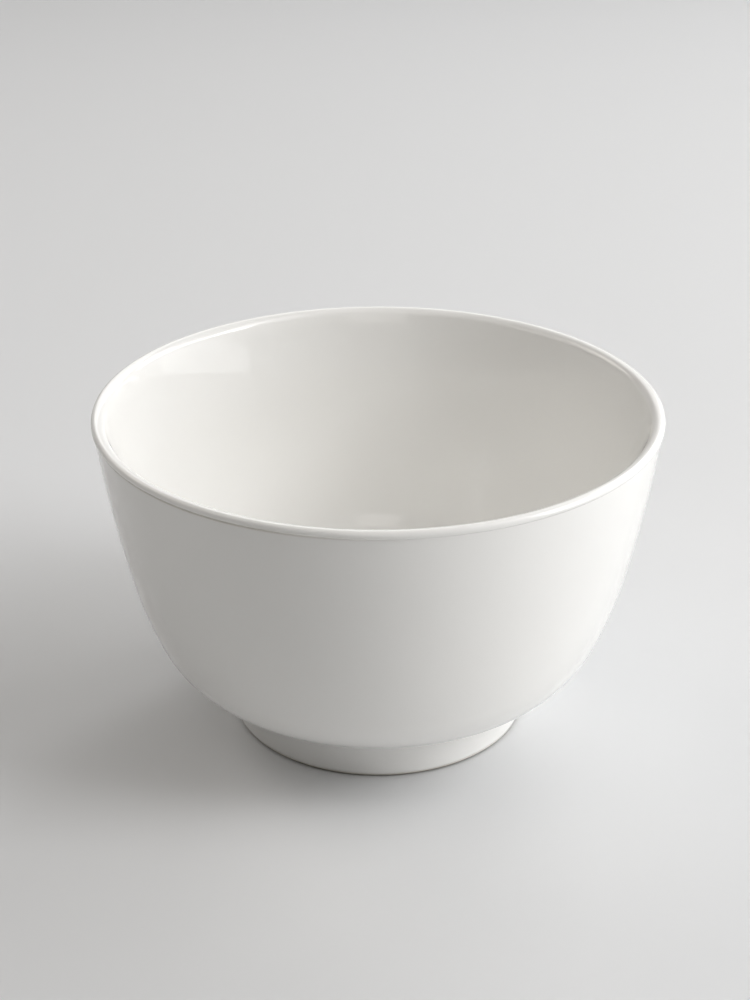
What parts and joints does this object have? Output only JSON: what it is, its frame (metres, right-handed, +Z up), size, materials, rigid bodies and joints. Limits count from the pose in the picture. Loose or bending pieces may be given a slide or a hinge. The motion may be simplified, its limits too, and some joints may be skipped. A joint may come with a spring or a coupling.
{
  "type": "latte bowl",
  "caption": "Deep round bowl without a handle, with a thin rolled lip, a rounded turn-in under the wall and a plain turned foot ring, in white glazed ware.",
  "frame": {"origin": "middle of the foot ring, on the surface that the bowl stands on", "axes": "+Z up along the bowl's axis of revolution; X and Y are any two level directions at right angles"},
  "size_m": [0.135, 0.135, 0.081],
  "materials": {
    "clay": "fired, unglazed, matte and finely grained",
    "glaze": "glossy, very slightly warm white"
  },
  "bodies": {
    "root": {"bowl_body": "clay", "foot_ring": "clay", "inner_glaze": "glaze", "outer_glaze": "glaze", "well_glaze": "glaze"}
  },
  "joints": []
}
